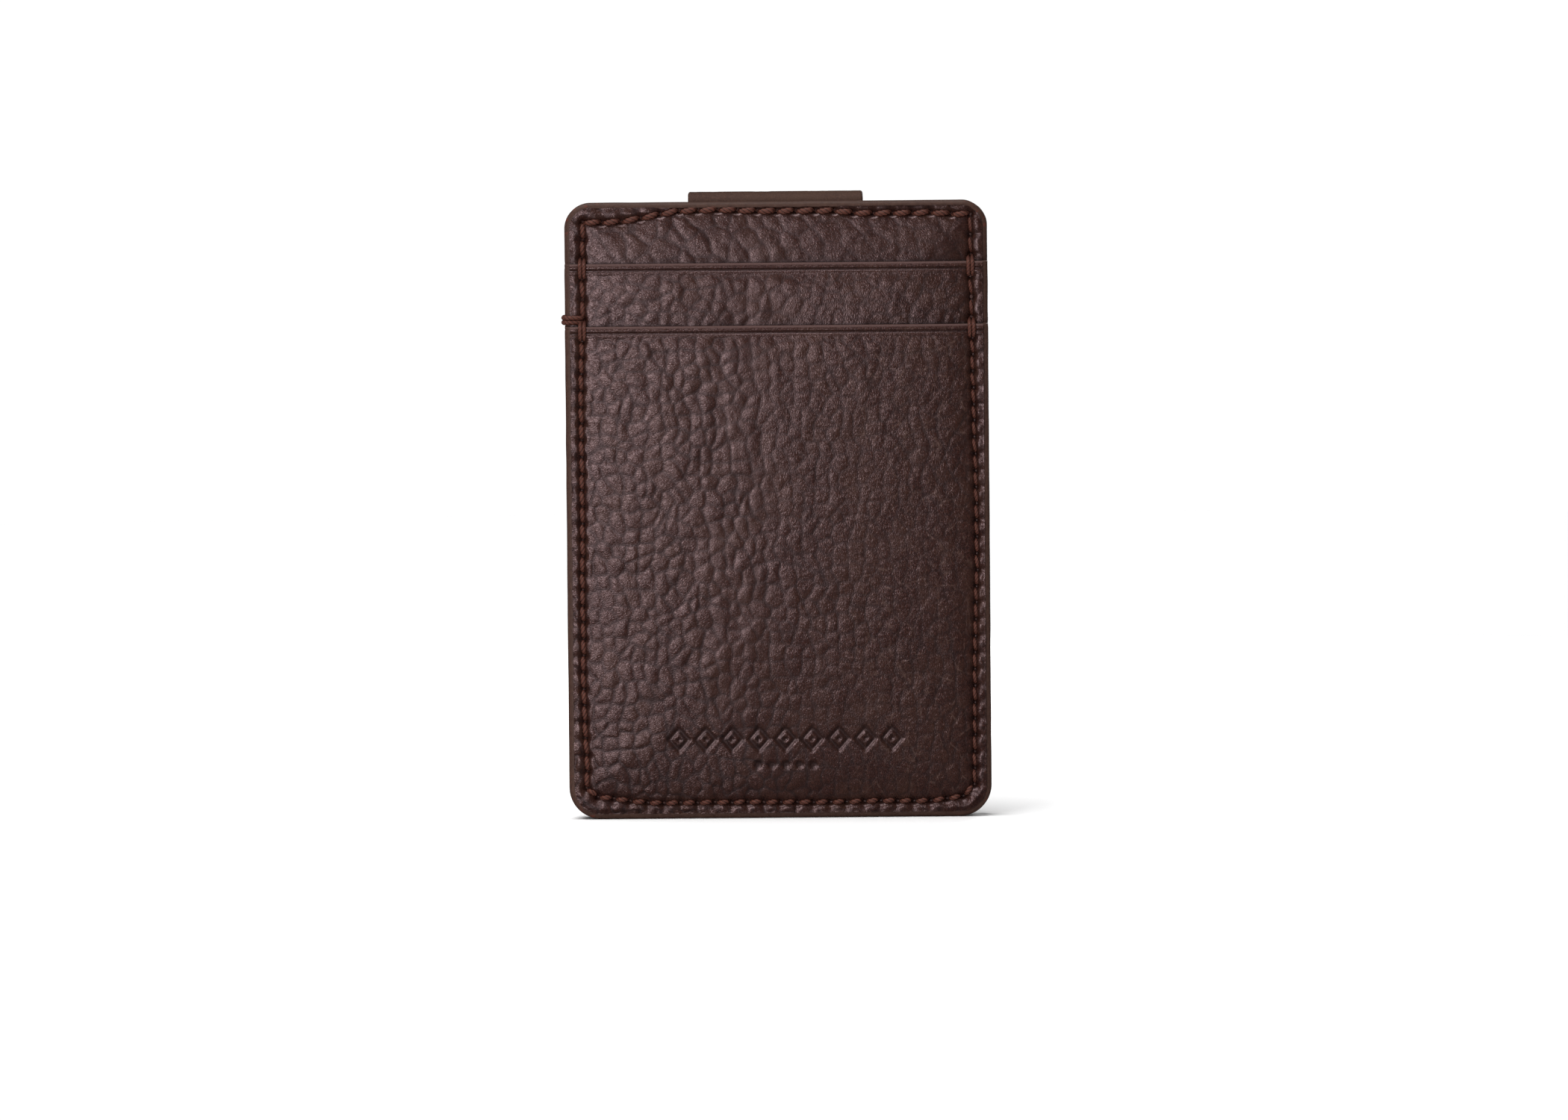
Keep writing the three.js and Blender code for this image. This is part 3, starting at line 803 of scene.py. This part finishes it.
def edge_route():
    """Points round the outline with their outward directions, close together where the edge steps at a mouth."""
    near_lips = [(lip - 1.0, lip + 1.0, 0.06) for lip in (LOWER_LIP, UPPER_LIP)]
    rise = graded(BOTTOM_RADIUS, HEIGHT - TOP_RADIUS, 0.6, *near_lips)
    bottom = np.linspace(BOTTOM_RADIUS - HALF, HALF - BOTTOM_RADIUS, 100)
    top = np.linspace(HALF - TOP_RADIUS, TOP_RADIUS - HALF, 100)
    sides = (
        (bottom, 0.0, (0, -1), BOTTOM_RADIUS),
        (HALF, rise, (1, 0), TOP_RADIUS),
        (top, HEIGHT, (0, 1), TOP_RADIUS),
        (-HALF, rise[::-1], (-1, 0), BOTTOM_RADIUS),
    )
    points, directions = [], []
    for x, z, out, radius in sides:
        side = np.column_stack(np.broadcast_arrays(x, z))
        turn = math.atan2(out[1], out[0]) + np.linspace(0, math.pi / 2, 26)[1:-1]
        ray = np.column_stack((np.cos(turn), np.sin(turn)))
        points += [side, side[-1] - radius * np.array(out) + radius * ray]
        directions += [np.tile(out, (len(side), 1)), ray]
    return np.concatenate(points), np.concatenate(directions)


def front_level(z):
    """The y of the foremost surface at height z, with its steps at the two mouths."""
    front, upper, lower = FRONT_OF.values()
    at_upper = 1 - smooth(UPPER_LIP - 0.12, UPPER_LIP + 0.10, z)
    at_lower = 1 - smooth(LOWER_LIP - 0.12, LOWER_LIP + 0.10, z)
    return front + (upper - front) * at_upper + (lower - upper) * at_lower


def painted_edge():
    """One rounded skin round the stack, with faint lines where the layers meet under the paint."""
    route, out = edge_route()
    count = len(route)
    front = front_level(route[:, 1])
    low, high = front + FRONT_START + FRONT_ROUNDING, BACK - BACK_START - BACK_ROUNDING + 0 * front
    turned_in = PAINT_WIDTH * (1 - np.sin(EDGE_BEND))
    rows = [(inset, low - FRONT_ROUNDING * math.cos(turn)) for inset, turn in zip(turned_in, EDGE_BEND)]
    for share in np.linspace(0, 1, 26)[1:-1]:
        y = low + (high - low) * share
        rows.append((0.05 * peak(y[:, None] - (BACK - np.array(JOINT_DEPTHS)), 0.11).sum(1), y))
    rows += [(inset, high + BACK_ROUNDING * math.cos(turn)) for inset, turn in zip(turned_in[::-1], EDGE_BEND[::-1])]
    # The skin's inner wall
    rows += [(PAINT_WIDTH, BACK - 0.5 + 0 * front), (PAINT_WIDTH, front + 0.5)]
    y = np.array([level for _, level in rows])
    inset = np.array([np.broadcast_to(inset, count) for inset, _ in rows])
    run = np.broadcast_to(np.arange(count) * 0.5, y.shape)
    inset = inset + 0.035 * (1 + noise(run, y * 0.6 + 3, 3.0, 4)) * (inset < 0.9)
    points = np.stack((route[:, 0] - inset * out[:, 0], y, route[:, 1] - inset * out[:, 1]), -1).reshape(-1, 3)
    faces = grid_faces(len(rows), count, closed=True)
    last = len(points) - count
    faces += [[last + k, last + (k + 1) % count, (k + 1) % count, k] for k in range(count)]
    corner = np.minimum(np.abs(route[:, 0]) - (HALF - 9), np.maximum(9 - route[:, 1], route[:, 1] - (HEIGHT - 9)))
    fields = {"rubbed": np.tile(smooth(0, 6, corner), len(rows))}
    piece = make_mesh("painted_edge_skin", points, faces, EDGE_PAINT, fields, points, crease_angle=70)
    finish_piece(piece, "wallet_body", "painted_edge")


# Stitching

# Front stitches in each row: radius, slant, height over the leather, and the share of the pitch that shows
ROWS = {
    "top": (0.48, 0.24, 0.02, 0.76),
    "bottom": (0.42, 0.26, -0.04, 0.58),
    "left": (0.45, 0.10, -0.16, 0.70),
    "right": (0.34, 0.18, -0.14, 0.66),
}


def slanted(a, b, lean):
    """The ends of a stitch between two holes, turned a little so that it lies at a slant."""
    along = (b - a) / np.linalg.norm(b - a)
    across = np.array([-along[1], along[0]]) * lean
    return a - across, b + across


def stitch_path(a, b, surface, outward, lift, sink=0.95, reach=0.74):
    """A stitch comes up near a, lies on the leather and goes down near b. Outward is -1 on the front and 1 on the
    back, and the reach is the share of the pitch that the stitch shows for."""
    heights = (-sink, -0.55, lift - 0.10, lift + 0.04, lift - 0.10, -0.55, -sink)
    steps = (-0.50, -0.42, -0.26, 0.0, 0.26, 0.42, 0.50)
    x, z = ((a + b) / 2 + reach * np.outer(steps, b - a)).T
    return resample(np.column_stack((x, surface + outward * np.array(heights), z)), 19)


def over_lip_path(high, low, lip, behind, ahead, shift):
    """The first stitch of a pocket climbs over its mouth from a hole in the panel behind."""
    x = (high[0] + low[0]) / 2 + shift
    path = [
        (x, behind + 0.8, high[1] - 0.05),
        (x, behind + 0.45, high[1] - 0.32),
        (x, (behind + ahead) / 2 + 0.25, lip + 0.22),
        (x, ahead - 0.14, lip - 0.14),
        (x, ahead - 0.26, lip - 0.70),
        (x, ahead - 0.18, (lip + low[1]) / 2 - 0.4),
        (x, ahead + 0.10, low[1] + 0.42),
        (x, ahead + 0.9, low[1] + 0.12),
    ]
    return resample(path, 24)


def front_stitching():
    paths, radii = [], []
    steps = tuple(zip(LIPS.values(), FRONT_PANELS, FRONT_PANELS[1:]))
    for a, b in SEAM.stitches:
        low, high = (a, b) if a[1] < b[1] else (b, a)
        crossed = [step for step in steps if low[1] < step[0] - 0.5 and high[1] > step[0]]
        if crossed:
            lip, behind, ahead = crossed[0]
            for shift in (-0.33, 0.33):
                paths.append(over_lip_path(high, low, lip, FRONT_OF[behind], FRONT_OF[ahead], shift))
                radii.append(MOUTH_RADIUS)
            continue
        middle = (a[1] + b[1]) / 2
        below = [panel for lip, _, panel in steps if middle < lip]
        surface = FRONT_OF[below[-1] if below else "front_panel"]
        row = "left" if a[0] < 0 else "right"
        if middle > HEIGHT - 5 and abs(a[0] - b[0]) > abs(a[1] - b[1]):
            row = "top"
        elif middle < SEAM_FOOT:
            row = "bottom"
        radius, lean, lift, reach = ROWS[row]
        paths.append(stitch_path(*slanted(a, b, lean), surface, -1, lift, reach=reach))
        radii.append(radius)
    threads("edge_needle_stitches", "edge_needle_thread", "wallet_body", paths, radii, (0, -1, 0))


def back_stitching():
    low, high = corners("anchor_leather")
    paths = []
    # Stitches that the strap covers are pulled in flat
    for a, b in SEAM.stitches:
        x, z = (a + b) / 2
        covered = abs(x) < high[0] + 1 and z > low[2]
        paths.append(stitch_path(*slanted(a, b, 0.08), BACK, 1, lift=-0.5 if covered else -0.05))
    threads("edge_bobbin_stitches", "edge_bobbin_thread", "wallet_body", paths, [BACK_RADIUS] * len(paths), (0, 1, 0))


def start_loop():
    """Two turns of thread round the left edge, just above the lower mouth, where the sewing starts."""
    low, high = corners("edge_start_loop")
    front = FRONT_OF["upper_pocket_panel"]
    middle = (low[2] + high[2]) / 2 + 0.2
    inner = side_inset(-1, middle) - HALF
    loop = [
        (inner + 0.1, front + 0.75),
        (inner - 0.25, front + 0.05),
        (-HALF + 1.5, front - 0.26),
        (-HALF + 0.50, front - 0.02),
        (-HALF - 0.10, front + 0.9),
        (-HALF - 0.14, (front + BACK) / 2),
        (-HALF - 0.10, BACK - 0.9),
        (-HALF + 0.45, BACK + 0.02),
        (-HALF + 1.3, BACK + 0.22),
        (inner, BACK + 0.05),
        (inner + 0.1, BACK - 0.5),
    ]
    paths = [resample([(x, y, middle + shift) for x, y in loop], 46) for shift in (-0.38, 0.38)]
    threads("edge_start_loop_turns", "edge_start_loop", "wallet_body", paths, [LOOP_RADIUS] * 2, (0, 0, 1), sides=12)


# The money clip. Its strap is laid out flat as x, v and depth: v runs from an end towards the fold, and depth goes
# in from the leather's outer face.

ANCHOR_LOW, ANCHOR_HIGH = corners("anchor_leather")
FLAP_LOW, FLAP_HIGH = corners("flap_leather")
LINING_HIGH = corners("flap_lining")[1]
STRAP_HALF = ANCHOR_HIGH[0]
STRAP_LENGTH = ANCHOR_HIGH[2] - ANCHOR_LOW[2]
STRAP_RADIUS = 4.0
STRAP_ROUNDING = 0.5
STRAP_STITCH_INSET = 2.0
STRAP_STITCH_PITCH = 2.9
FOLD_Y = (ANCHOR_LOW[1] + FLAP_HIGH[1]) / 2
FOLD_Z = corners("fold_leather")[0][2]
FOLD_RADIUS = FOLD_Y - ANCHOR_LOW[1]
LEATHER_THICKNESS = 0.7
LINING_DEPTH = FLAP_HIGH[1] - LINING_HIGH[1]
LINING_THICKNESS = 0.6
LINING_FACE = LINING_DEPTH + LINING_THICKNESS
LINING_INSET = 0.3
LINING_ROUNDING = 0.2
ON_ANCHOR = facing(ANCHOR_LOW[1], -1, ANCHOR_LOW[2])
ON_FLAP = facing(FLAP_HIGH[1], 1, FLAP_LOW[2])


def strap_half_width(inset):
    return lambda v: STRAP_HALF - inset - corner_drop(STRAP_RADIUS - v, STRAP_RADIUS - inset)


def strap_depth(x, v):
    """How far a point is inside the strap's outline, whose end at the fold doesn't count."""
    return depth_inside(x, v, STRAP_HALF, STRAP_RADIUS)


def strap_holes():
    """The needle holes of the strap's seam: down one side, across the end and up the other."""
    side = STRAP_HALF - STRAP_STITCH_INSET
    turn = STRAP_RADIUS - STRAP_STITCH_INSET
    start = STRAP_LENGTH - 4.0
    count = round((start - STRAP_RADIUS) / STRAP_STITCH_PITCH)
    bend = turn * (1 - math.sqrt(0.5))
    left = [(-side, v) for v in np.linspace(start, STRAP_RADIUS, count + 1)]
    left.append((-side + bend, STRAP_STITCH_INSET + bend))
    end = [(x, STRAP_STITCH_INSET) for x in np.linspace(-side + turn, side - turn, 9)]
    return np.array([*left, *end, *((-x, v) for x, v in reversed(left))])


STRAP_SEAM = Seam(strap_holes())


def strap_relief(sewn):
    """The strap's face: rounded at its edges, with a sunk seam where it is sewn."""

    def relief(x, v):
        depth = strap_depth(x, v)
        height = -corner_drop(STRAP_ROUNDING - depth, STRAP_ROUNDING)
        bumps, crease = grain(x, v, np.full_like(x, 5.0), *GRAINS["strap"])
        crease = crease * 0.6
        if sewn:
            inside, hole, _, _ = STRAP_SEAM.field(x, v)
            height = height - 0.22 * peak(inside, 0.5) - 0.22 * peak(hole, 0.3)
            # Painted shade in the needle holes
            crease = np.maximum(crease, peak(hole, 0.3))
        lean = 0.5 + 0.4 * noise(x, v, 8.0, 6)
        paint = 1 - smooth(0.15, 0.45, depth)
        fields = shader_fields(crease, 0.4 * paint, paint, lean, 0.2, rim_crease=0.0)
        return height + np.minimum(bumps, 0) * smooth(0.2, 1.0, depth), fields

    return relief


def strap_half(half, place, body, sewn):
    """One half: grained leather turned over the board's edges, and the lining that covers the board."""
    depth = LINING_DEPTH - 0.02
    near_edge, at_edge = STRAP_HALF - 3.0, STRAP_HALF - 0.6
    edge = graded(0.0, STRAP_HALF, 0.34, (near_edge, at_edge, 0.18), (at_edge, STRAP_HALF, 0.07))
    shares = mirrored(edge) / STRAP_HALF
    sheet_piece(
        half + "_hide", body, half + "_leather",
        shares,
        graded(0.0, STRAP_LENGTH, 0.4, (0, 0.3, 0.05), (0.3, 4.0, 0.18)),
        strap_half_width(0.0),
        strap_relief(sewn),
        [(0.0, 0.9), (0.0, depth - 0.25), (0.08, depth - 0.08), (0.25, depth), (0.7, depth), (0.7, LEATHER_THICKNESS)],
        place,
        STRAP_LEATHER,
    )

    def lining_relief(x, v):
        inside, hole, _, _ = STRAP_SEAM.field(x, v)
        height = -corner_drop(LINING_ROUNDING + LINING_INSET - strap_depth(x, v), LINING_ROUNDING)
        return height - 0.2 * peak(inside, 0.45) - 0.15 * peak(hole, 0.3), {}

    sheet_piece(
        half + "_lining_cloth", body, half + "_lining",
        shares,
        graded(LINING_INSET, STRAP_LENGTH, 0.5, (LINING_INSET, 4.0, 0.2)),
        strap_half_width(LINING_INSET),
        lining_relief,
        [(0.0, 0.3), (0.0, LINING_THICKNESS)],
        lambda x, v, below: place(x, v, LINING_FACE - below),
        LINING,
    )


def strap_stitches(row, body, place, face, outward):
    """A row of stitches on one face of the strap; face is its depth, and outward the side that it faces."""
    paths = []
    for a, b in STRAP_SEAM.stitches:
        path = stitch_path(*slanted(a, b, 0.07), 0.0, outward, lift=-0.08, sink=0.6)
        paths.append(place(path[:, 0], path[:, 2], face + path[:, 1]))
    radii = [STRAP_THREAD_RADIUS] * len(paths)
    threads(row + "_stitches", row + "_thread", body, paths, radii, (0, 1, 0), sides=12)


def fold_piece(name, outer, inner, side, material, replaced, rounding, grainy):
    """A half-round shell over the top of the clip. Grainy is 1 for leather."""
    across = mirrored(graded(0.0, side, 0.4, (side - 1.2, side, 0.1)))
    x, angle = np.meshgrid(across, np.linspace(0, math.pi, 64))
    drop = corner_drop(rounding - (side - np.abs(x)), rounding)
    bumps = 0.03 * noise(x, angle * outer, 1.5, 3) + 0.02 * noise(x, angle * outer, 0.6, 4)
    bumps = grainy * np.minimum(bumps, 0.0) * smooth(0, 0.4, np.minimum(angle, math.pi - angle))
    under = inner + 0.3 * (1 - grainy) * drop
    radius = np.concatenate((outer - drop + bumps, under[:, ::-1]), axis=1)
    x = np.concatenate((x, x[:, ::-1]), axis=1)
    angle = np.concatenate((angle, angle), axis=1)
    points = np.stack((x, FOLD_Y - radius * np.cos(angle), FOLD_Z + radius * np.sin(angle)), -1).reshape(-1, 3)
    rows, columns = x.shape
    faces = grid_faces(rows, columns, closed=True)
    faces += [list(range(columns)), list(range((rows - 1) * columns, rows * columns))]
    flat = np.stack((x, radius, STRAP_LENGTH + angle * outer), -1)
    zero = np.zeros(x.size)
    edge = 1 - smooth(0.0, 0.35, side - np.abs(x)).ravel()
    fields = {"crease": zero, "plain": zero, "paint": edge, "lean": zero + 0.6, "worn": zero + 0.2}
    piece = make_mesh(name, points, faces, material, fields, flat, 60)
    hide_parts(replaced)
    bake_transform(piece)


def money_clip():
    strap_half("anchor", ON_ANCHOR, "wallet_body", sewn=False)
    strap_half("flap", ON_FLAP, "clip_flap", sewn=True)
    strap_stitches("anchor_lining", "wallet_body", ON_ANCHOR, LINING_FACE, 1)
    strap_stitches("flap_lining", "clip_flap", ON_FLAP, LINING_FACE, 1)
    strap_stitches("flap_outer", "clip_flap", ON_FLAP, 0.0, -1)
    shell = FOLD_RADIUS - LEATHER_THICKNESS
    inner = FOLD_RADIUS - LINING_FACE
    side = STRAP_HALF - 0.02
    fold_piece("fold_hide", FOLD_RADIUS, shell, STRAP_HALF, STRAP_LEATHER, "fold_leather", 0.45, 1)
    fold_piece("fold_lining_cloth", shell - 0.04, inner, side, LINING, "fold_lining", 0.12, 0)


# CAD nodes that stay


def carried_over():
    """Looks for the CAD nodes that stay. They are all inside the wallet."""
    board = hidden_material(
        "board", (1.0, 3.0, 2.2), 1.6, (5.0, 0.7), (0.10, 0.060, 0.038), (0.22, 0.145, 0.095), (0.9, 0.9), 0.06
    )
    strips = hidden_material(
        "seam_strip_leather", (1.0, 1.0, 1.0), 2.4, (5.0, 0.7), (0.022, 0.012, 0.009), (0.055, 0.033, 0.024),
        (0.6, 0.8), 0.05,
    )
    nickel = hidden_material(
        "magnet_nickel", (0.4, 3.0, 9.0), 1.4, (4.0, 0.6), (0.62, 0.61, 0.58), (0.76, 0.75, 0.73), (0.18, 0.34), 0.004,
        spread=(0.0, 1.0), metallic=1.0,
    )
    looks = {
        board: ["stiffener_board", "anchor_board", "flap_board"],
        nickel: [f"{half}_magnet_{side}" for half in ("anchor", "flap") for side in ("left", "right")],
        cloth_material("pocket_lining", on_cad_node=True): ["upper_pocket_liner", "lower_pocket_liner"],
        strips: [f"{slot}_slot_seam_strip_{at}" for slot in ("upper", "lower") for at in ("left", "right", "bottom")],
    }
    for material, nodes in looks.items():
        for node in nodes:
            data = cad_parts[node].data
            data.materials.clear()
            data.materials.append(material)


# The studio

FLOOR_RADIUS = 0.9
WORLD_LIGHT, WORLD_SEEN = 0.06, 1.05


def floor():
    """A round white table top under the wallet, plain and pale."""
    s = Shader("floor_white")
    mottle = s.noise(s.add("ShaderNodeTexCoord").outputs["Object"], 3.0)
    tone = s.mix(mottle, (0.91, 0.91, 0.91), (0.925, 0.925, 0.925))
    s.surface(tone, 0.9, specular=0.1)
    mesh = bpy.data.meshes.new("floor")
    turn = np.linspace(0, 2 * math.pi, 96, endpoint=False)
    rim = np.column_stack((np.cos(turn), np.sin(turn), 0 * turn)) * FLOOR_RADIUS
    mesh.from_pydata(rim.tolist(), [], [list(range(len(rim)))])
    mesh.materials.append(s.material)
    table = new_object("floor", mesh)
    table.visible_glossy = False


def lamp(name, data, at, aim):
    piece = new_object(name, data)
    piece.visible_camera = False
    piece.location = at
    piece.rotation_euler = (Vector(aim) - Vector(at)).to_track_quat("-Z", "Y").to_euler()


def softbox(name, azimuth, elevation, distance, size, radiance):
    """A soft light, its azimuth to the left of the front and its elevation from level, in degrees. It lights the
    wallet's middle from this distance."""
    aim = (0, 0, 0.05)
    data = bpy.data.lights.new(name, "AREA")
    data.shape = "RECTANGLE"
    data.size, data.size_y = size
    data.energy = radiance * math.pi * size[0] * size[1]
    turn, rise = math.radians(azimuth), math.radians(elevation)
    way = Vector((-math.sin(turn) * math.cos(rise), -math.cos(turn) * math.cos(rise), math.sin(rise)))
    lamp(name, data, Vector(aim) + way * distance, aim)


def studio():
    """Soft light from above and from the upper left, over white."""
    world = bpy.data.worlds.new("studio")
    bpy.context.scene.world = world
    world.use_nodes = True
    tree = world.node_tree
    tree.nodes.clear()
    rays = tree.nodes.new("ShaderNodeLightPath")
    mix, output = tree.nodes.new("ShaderNodeMixShader"), tree.nodes.new("ShaderNodeOutputWorld")
    tree.links.new(rays.outputs["Is Camera Ray"], mix.inputs[0])
    # The world lights the wallet faintly, and shows white behind it
    for socket, strength in ((1, WORLD_LIGHT), (2, WORLD_SEEN)):
        light = tree.nodes.new("ShaderNodeBackground")
        light.inputs[0].default_value = (1, 1, 1, 1)
        light.inputs[1].default_value = strength
        tree.links.new(light.outputs[0], mix.inputs[socket])
    tree.links.new(mix.outputs[0], output.inputs[0])
    sky = bpy.data.lights.new("sky", "SUN")
    sky.energy = 3.5
    sky.angle = math.radians(50)
    lamp("sky", sky, (-0.25, -0.16, 1.0), (0, 0, 0))
    softbox("key", azimuth=21, elevation=7, distance=0.38, size=(0.11, 0.16), radiance=12.6)
    softbox("back", azimuth=202, elevation=12, distance=0.42, size=(0.16, 0.20), radiance=10.0)
    bpy.context.scene.view_settings.view_transform = "Standard"


def camera():
    """Seen almost straight from the front, through a long lens."""
    view_width = 0.2592
    distance = 1.6
    elevation = math.radians(3.5)
    roll = math.radians(0.5)
    data = bpy.data.cameras.new("camera")
    data.sensor_width = 36.0
    data.lens = data.sensor_width * distance / view_width
    data.clip_start, data.clip_end = 0.05, 30.0
    eye = new_object("camera", data)
    aim = Vector((0.0009, FRONT_OF["lower_pocket_panel"] * MM, 0.0428))
    back = Vector((0, -math.cos(elevation), math.sin(elevation)))
    eye.location = aim + back * distance
    level = (-back).to_track_quat("-Z", "Y")
    eye.rotation_euler = (level @ Quaternion((0, 0, 1), -roll)).to_euler()
    bpy.context.scene.camera = eye


camera()
front_panels()
back_panel()
painted_edge()
front_stitching()
back_stitching()
start_loop()
money_clip()
carried_over()
floor()
studio()
